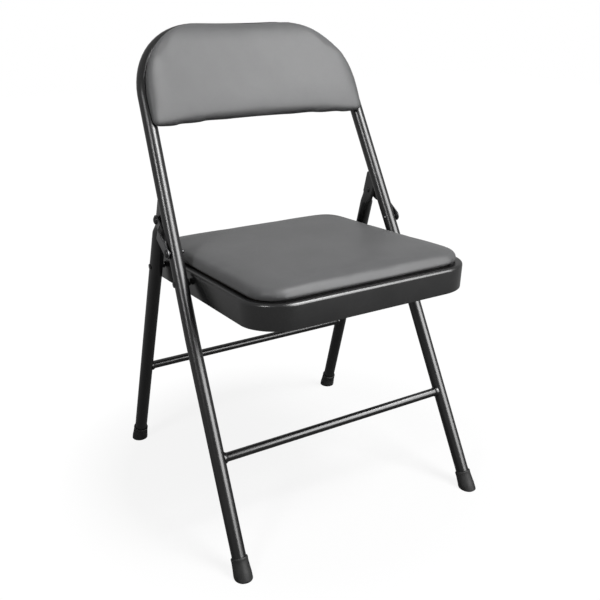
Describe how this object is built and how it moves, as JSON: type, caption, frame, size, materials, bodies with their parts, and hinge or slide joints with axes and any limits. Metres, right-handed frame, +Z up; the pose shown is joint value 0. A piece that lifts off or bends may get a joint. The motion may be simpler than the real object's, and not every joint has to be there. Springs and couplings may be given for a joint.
{
  "type": "folding chair",
  "caption": "Steel folding chair: bent tube frame with a padded back, a padded pressed seat on side hinges, and rear legs that fold in on side links.",
  "frame": {"origin": "middle of the rectangle the chair covers on the floor, at floor level", "axes": "+Z up, -Y towards the front of the seat, +X to the right as seen from in front"},
  "size_m": [0.4684, 0.4842, 0.7641],
  "materials": {
    "frame": "gloss black powder coat",
    "fasteners": "black-coated rivets, washers and screws",
    "cover": "grey vinyl over foam, fine grain, low sheen",
    "rubber": "black moulded rubber, matte",
    "board": "raw hardboard"
  },
  "bodies": {
    "front_frame": {"front_frame_tube": "frame", "front_crossbar": "frame", "front_tip_right": "rubber", "front_tip_left": "rubber", "back_panel": "frame", "back_pad": "cover", "back_screw_right_1": "fasteners", "back_screw_left_1": "fasteners", "back_screw_right_2": "fasteners", "back_screw_left_2": "fasteners", "seat_rivet_right": "fasteners", "seat_rivet_left": "fasteners", "link_lower_rivet_right": "fasteners", "link_lower_rivet_left": "fasteners", "link_washer_right": "fasteners", "link_washer_left": "fasteners"},
    "seat": {"seat_pan": "frame", "seat_board": "board", "seat_pad": "cover", "seat_screw_1": "fasteners", "seat_screw_2": "fasteners", "seat_screw_3": "fasteners", "seat_screw_4": "fasteners", "seat_hinge_plate_right": "frame", "seat_hinge_plate_left": "frame", "seat_washer_right": "fasteners", "seat_washer_left": "fasteners", "leg_washer_right": "fasteners", "leg_washer_left": "fasteners"},
    "rear_legs": {"rear_leg_right": "frame", "rear_leg_left": "frame", "rear_crossbar": "frame", "rear_tip_right": "rubber", "rear_tip_left": "rubber", "leg_rivet_right": "fasteners", "leg_rivet_left": "fasteners", "link_upper_stub_right": "fasteners", "link_upper_stub_left": "fasteners"},
    "link_left": {"side_link_left": "frame", "link_upper_rivet_left": "fasteners", "link_spacer_left": "fasteners"},
    "link_right": {"side_link_right": "frame", "link_upper_rivet_right": "fasteners", "link_spacer_right": "fasteners"}
  },
  "joints": [
    {"name": "seat_hinge", "type": "hinge", "parent": "front_frame", "child": "seat", "pos_m": [0, -0.00975, 0.39316], "axis": [-1, 0, 0], "range_deg": [0, 92]},
    {"name": "rear_leg_hinge", "type": "hinge", "parent": "seat", "child": "rear_legs", "pos_m": [0, 0.09818, 0.39002], "axis": [1, 0, 0], "range_deg": [0, 48.8]},
    {"name": "link_left_hinge", "type": "hinge", "parent": "front_frame", "child": "link_left", "pos_m": [-0.20374, 0.00876, 0.43773], "axis": [-1, 0, 0], "range_deg": [0, 115.8]},
    {"name": "link_right_hinge", "type": "hinge", "parent": "front_frame", "child": "link_right", "pos_m": [0.20374, 0.00876, 0.43773], "axis": [-1, 0, 0], "range_deg": [0, 115.8]}
  ],
  "couplings": [
    {"joint": "rear_leg_hinge", "follows": "seat_hinge", "ratio": 0.5274},
    {"joint": "link_left_hinge", "follows": "seat_hinge", "ratio": 1.2564},
    {"joint": "link_right_hinge", "follows": "seat_hinge", "ratio": 1.2564}
  ]
}
